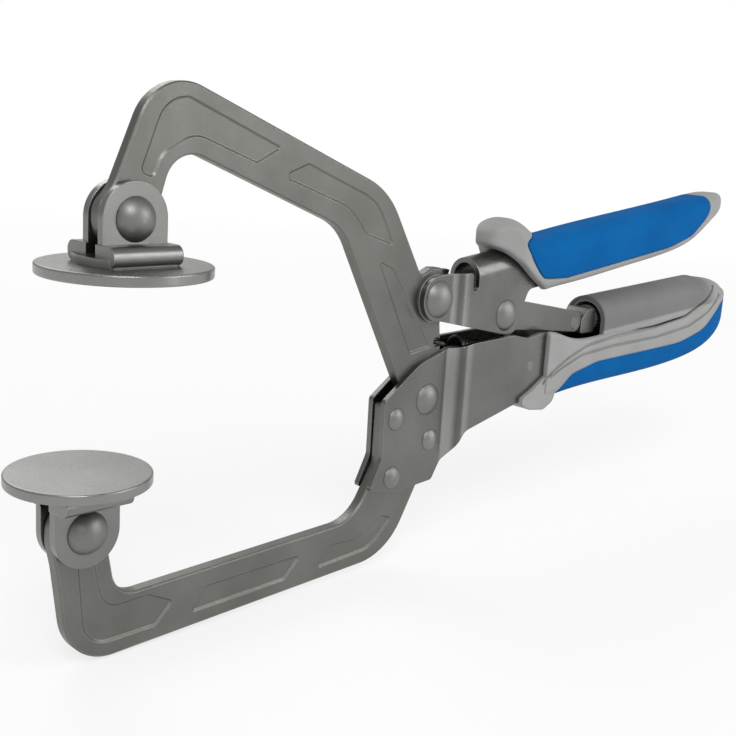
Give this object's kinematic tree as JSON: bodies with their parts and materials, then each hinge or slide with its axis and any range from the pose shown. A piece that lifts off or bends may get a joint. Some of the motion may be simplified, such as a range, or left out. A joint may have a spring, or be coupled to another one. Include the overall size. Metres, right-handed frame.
{
  "type": "locking face clamp",
  "caption": "Self-adjusting locking clamp with two deep C-shaped arms, round swivel pads, a toggle linkage and two-tone moulded handles.",
  "frame": {"origin": "centre of the lower pad's clamping face", "axes": "+Z out of the lower pad's face towards the upper pad, +X from the pads towards the handles, +Y across the sheet metal to the clamp's left side"},
  "size_m": [0.2933, 0.038, 0.1286],
  "materials": {
    "arm_steel": "satin nickel plate",
    "sheet_steel": "satin nickel plate",
    "pad_steel": "turned and plated",
    "rivet_steel": "bright plated",
    "spring_steel": "dark oiled wire",
    "grip_grey": "fine moulded texture",
    "grip_blue": "soft-touch moulded"
  },
  "bodies": {
    "frame": {"lower_arm": "arm_steel", "handle_frame": "sheet_steel", "frame_rivets": "rivet_steel", "main_pivot_rivet": "rivet_steel", "lower_pad_rivet": "rivet_steel", "lower_grip": "grip_grey", "lower_grip_panel": "grip_blue", "guide_sleeve": "grip_grey", "lock_plate": "sheet_steel", "tube_end_plug": "grip_grey", "spring_anchor_pin": "rivet_steel", "jaw_spring": "spring_steel"},
    "jaw": {"upper_arm": "arm_steel", "upper_pad_rivet": "rivet_steel"},
    "lever_pivot": {"lever_pivot_rivet": "rivet_steel", "lever_pivot_washers": "rivet_steel"},
    "upper_handle": {"upper_lever": "sheet_steel", "toggle_rivet": "rivet_steel", "upper_grip": "grip_grey", "upper_grip_panel": "grip_blue"},
    "link": {"toggle_link": "sheet_steel"},
    "plunger": {"plunger_shaft": "rivet_steel", "link_pin": "rivet_steel", "plunger_spring": "spring_steel", "plunger_nut": "rivet_steel"},
    "wheel": {"pressure_wheel": "rivet_steel"},
    "upper_pad": {"upper_pad_disc": "pad_steel", "upper_pad_bracket": "sheet_steel"},
    "lower_pad": {"lower_pad_disc": "pad_steel", "lower_pad_bracket": "sheet_steel"}
  },
  "joints": [
    {"name": "jaw_swing", "type": "hinge", "parent": "frame", "child": "jaw", "pos_m": [0.1086, 0, 0.002], "axis": [0, 1, 0], "range_deg": [-21.3, 18], "deforming": ["jaw_spring"]},
    {"name": "handle_carrier", "type": "hinge", "parent": "jaw", "child": "lever_pivot", "pos_m": [0.1093, 0, 0.0307], "axis": [0, 1, 0], "range_deg": [-21.3, 24]},
    {"name": "handle_lift", "type": "hinge", "parent": "lever_pivot", "child": "upper_handle", "pos_m": [0.1093, 0, 0.0307], "axis": [0, -1, 0], "range_deg": [0, 46]},
    {"name": "link_turn", "type": "hinge", "parent": "upper_handle", "child": "link", "pos_m": [0.1382, 0, 0.0242], "axis": [0, -1, 0], "range_deg": [-84.3, 0]},
    {"name": "plunger_turn", "type": "hinge", "parent": "link", "child": "plunger", "pos_m": [0.1765, 0, 0.0184], "axis": [0, -1, 0], "range_deg": [0, 38.3]},
    {"name": "wheel_turn", "type": "hinge", "parent": "plunger", "child": "wheel", "pos_m": [0.1902, 0, 0.0184], "axis": [1, 0, 0], "continuous": true},
    {"name": "upper_pad_tilt", "type": "hinge", "parent": "jaw", "child": "upper_pad", "pos_m": [0.011, 0, 0.0544], "axis": [0, 1, 0], "range_deg": [-24, 24]},
    {"name": "lower_pad_tilt", "type": "hinge", "parent": "frame", "child": "lower_pad", "pos_m": [0, 0, -0.013], "axis": [0, 1, 0], "range_deg": [-10, 10]}
  ],
  "couplings": [
    {"joint": "handle_carrier", "follows": "jaw_swing", "ratio": -1},
    {"joint": "upper_pad_tilt", "follows": "jaw_swing", "ratio": -1},
    {"joint": "link_turn", "follows": "handle_lift", "ratio": -1.83},
    {"joint": "plunger_turn", "follows": "handle_lift", "ratio": 0.83}
  ]
}
